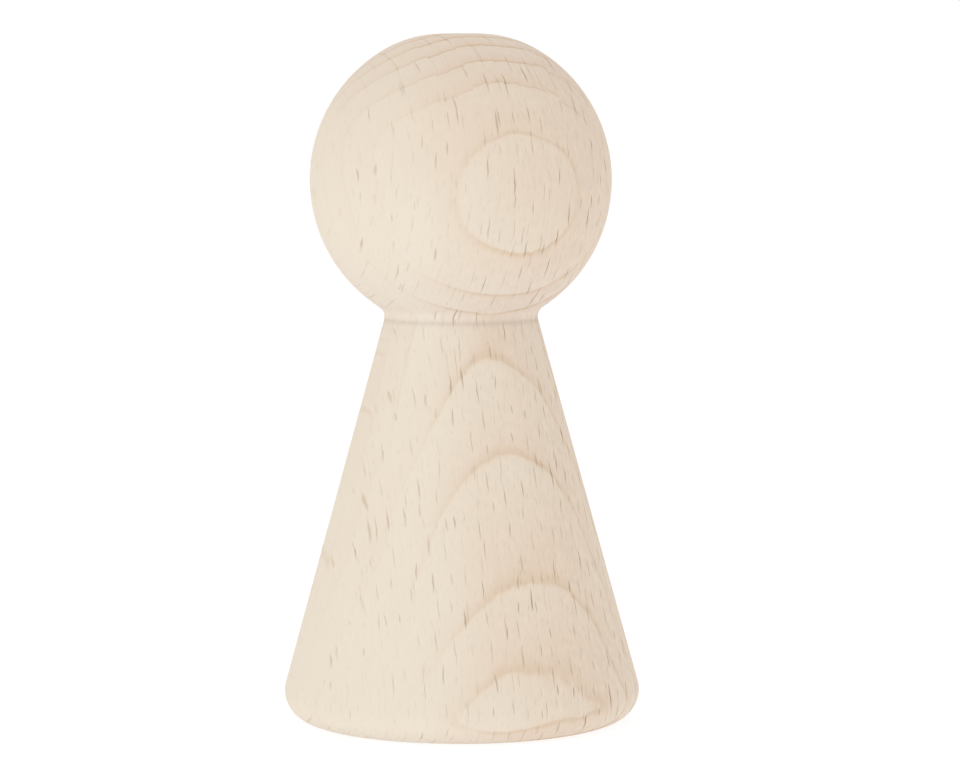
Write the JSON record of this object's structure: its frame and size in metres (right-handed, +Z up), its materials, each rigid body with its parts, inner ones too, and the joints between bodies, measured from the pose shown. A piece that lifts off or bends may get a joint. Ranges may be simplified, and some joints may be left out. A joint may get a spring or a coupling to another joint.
{
  "type": "peg doll",
  "caption": "Plain turned wooden figure: a ball head that runs through a narrow coved neck into a straight cone body with a rounded edge and a flat foot to stand on.",
  "frame": {"origin": "centre of the flat foot, on the surface that the figure stands on", "axes": "+Z up along the turning axis to the crown; the figure is round, so X and Y are free, and -Y is the side that the picture shows"},
  "size_m": [0.0416, 0.0416, 0.08],
  "materials": {
    "beech": "bare beech, turned and finely sanded, matt, with no oil, wax or paint"
  },
  "bodies": {
    "root": {"turned_figure": "beech"}
  },
  "joints": []
}
